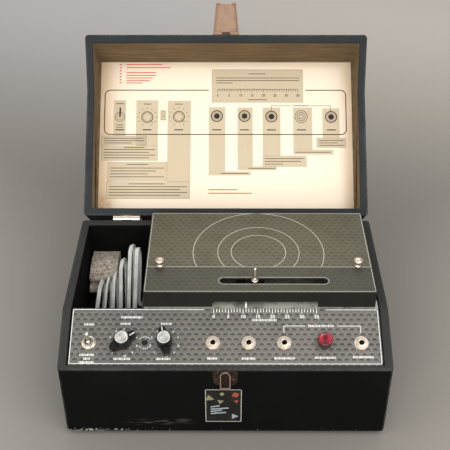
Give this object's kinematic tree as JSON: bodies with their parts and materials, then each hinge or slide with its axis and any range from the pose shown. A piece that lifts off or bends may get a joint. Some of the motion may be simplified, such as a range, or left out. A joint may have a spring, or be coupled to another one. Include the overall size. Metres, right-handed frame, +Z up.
{
  "type": "tape echo unit",
  "caption": "Portable tape echo unit in a covered wooden case: sloped panel with knobs and jacks, tape deck under a metal cover, cord well and hinged lid.",
  "frame": {"origin": "on the surface that the feet stand on, below the centre of the open unit's bounding box", "axes": "+X to the right as seen from the front, +Y from the control panel to the open lid, +Z up"},
  "size_m": [0.4, 0.4866, 0.3828],
  "materials": {
    "black_covering": "grained vinyl cloth, worn",
    "lid_covering": "grained vinyl cloth, worn",
    "well_lining": "painted black",
    "paper": "aged printed sheet",
    "grey_panel": "printed, satin",
    "cover_metal": "brushed dark grey-green with silver lines",
    "fascia_metal": "brushed top, black front",
    "deck_grey": "speckled grey",
    "nickel": "warm worn nickel",
    "aged_brass": "aged, dark",
    "black_knob": "moulded phenolic",
    "cap_silver": "spun",
    "red_lens": "faceted red lens",
    "rubber_black": "matte",
    "steel": "ground",
    "chassis_steel": "plated sheet",
    "bronze": "sintered bronze",
    "motor_grey": "satin",
    "tape_brown": "oxide tape",
    "cartridge_cream": "moulded",
    "board_green": "circuit board",
    "transformer_iron": "varnished laminations",
    "cord_grey": "aged flat twin cord",
    "plug_cream": "moulded plug",
    "felt": "thick speckled felt",
    "white_paint": "white",
    "strap_black": "moulded strap"
  },
  "bodies": {
    "case": {"case_sides": "black_covering", "case_front": "black_covering", "case_back": "black_covering", "case_bottom": "black_covering", "rubber_feet": "rubber_black", "partition": "well_lining", "hinge_case_leaves": "nickel", "latch_catch": "aged_brass", "chassis": "chassis_steel", "control_panel": "grey_panel", "toggle_switch": "nickel", "potentiometers": "chassis_steel", "jack_sockets": "nickel", "panel_nuts": "nickel", "lamp_lens": "red_lens", "lamp_holder": "nickel", "tape_cover": "cover_metal", "slider_fascia": "fascia_metal", "thumb_screws": "nickel", "transport_deck": "deck_grey", "guide_pins": "steel", "fixed_heads": "steel", "capstan_bearing": "bronze", "drive_motor": "motor_grey", "drive_belt": "rubber_black", "tape_cartridge": "cartridge_cream", "tape_loop": "tape_brown", "circuit_board": "board_green", "power_transformer": "transformer_iron", "cord_bushing": "rubber_black", "power_cord": "cord_grey", "power_plug": "plug_cream", "felt_pad": "felt"},
    "lid": {"lid_sides": "lid_covering", "lid_front": "lid_covering", "lid_back": "lid_covering", "lid_top": "lid_covering", "instruction_sheet": "paper", "hinge_lid_leaves": "nickel", "hasp_bracket": "aged_brass", "handle_strap": "strap_black", "handle_caps": "nickel"},
    "hasp": {"latch_hasp": "nickel"},
    "toggle": {"toggle_lever": "nickel"},
    "sustain_control": {"sustain_shaft": "steel", "sustain_knob": "black_knob", "sustain_cap": "cap_silver"},
    "volume_control": {"volume_shaft": "steel", "volume_knob": "black_knob", "volume_cap": "cap_silver"},
    "trimmer": {"trim_shaft": "steel"},
    "head_slide": {"head_carriage": "steel", "record_head": "steel", "slide_lever": "nickel", "slide_pointer": "white_paint"},
    "capstan": {"capstan_flywheel": "steel"},
    "pinch_arm": {"pinch_arm": "steel"},
    "pinch_roller": {"pinch_roller": "rubber_black"},
    "motor_pulley": {"motor_pulley": "steel"},
    "reel": {"tape_reel": "tape_brown"}
  },
  "joints": [
    {"name": "lid_hinge", "type": "hinge", "parent": "case", "child": "lid", "pos_m": [0, 0.021, 0.151], "axis": [1, 0, 0], "range_deg": [0, 136]},
    {"name": "hasp_hinge", "type": "hinge", "parent": "lid", "child": "hasp", "pos_m": [0, 0.19792, 0.34827], "axis": [1, 0, 0], "range_deg": [0, 90]},
    {"name": "toggle_tilt", "type": "hinge", "parent": "case", "child": "toggle", "pos_m": [-0.165, -0.20615, 0.13295], "axis": [1, 0, 0], "range_deg": [0, 24]},
    {"name": "sustain_turn", "type": "hinge", "parent": "case", "child": "sustain_control", "pos_m": [-0.1235, -0.20487, 0.13023], "axis": [0, -0.427, 0.9042], "range_deg": [-95, 205]},
    {"name": "volume_turn", "type": "hinge", "parent": "case", "child": "volume_control", "pos_m": [-0.0733, -0.20487, 0.13023], "axis": [0, -0.427, 0.9042], "range_deg": [-162, 138]},
    {"name": "trim_turn", "type": "hinge", "parent": "case", "child": "trimmer", "pos_m": [-0.0973, -0.20487, 0.13023], "axis": [0, -0.427, 0.9042], "range_deg": [-135, 135]},
    {"name": "head_slide", "type": "slide", "parent": "case", "child": "head_slide", "axis": [1, 0, 0], "range_m": [-0.03971, 0.08664]},
    {"name": "capstan_spin", "type": "hinge", "parent": "case", "child": "capstan", "pos_m": [-0.05, -0.1166, 0.136], "axis": [0, 0, 1], "continuous": true},
    {"name": "pinch_arm_swing", "type": "hinge", "parent": "case", "child": "pinch_arm", "pos_m": [-0.029, -0.0957, 0.152], "axis": [0, 0, 1], "range_deg": [-10, 0]},
    {"name": "pinch_roller_spin", "type": "hinge", "parent": "pinch_arm", "child": "pinch_roller", "pos_m": [-0.05, -0.1047, 0.159], "axis": [0, 0, 1], "continuous": true},
    {"name": "motor_spin", "type": "hinge", "parent": "case", "child": "motor_pulley", "pos_m": [0.03, -0.0728, 0.126], "axis": [0, 0, 1], "continuous": true},
    {"name": "reel_spin", "type": "hinge", "parent": "case", "child": "reel", "pos_m": [0.055, -0.04893, 0.156], "axis": [0, 0, 1], "continuous": true}
  ],
  "couplings": [
    {"joint": "pinch_roller_spin", "follows": "capstan_spin", "ratio": -0.27778},
    {"joint": "motor_spin", "follows": "capstan_spin", "ratio": 6.8},
    {"joint": "reel_spin", "follows": "capstan_spin", "ratio": 0.073529}
  ]
}
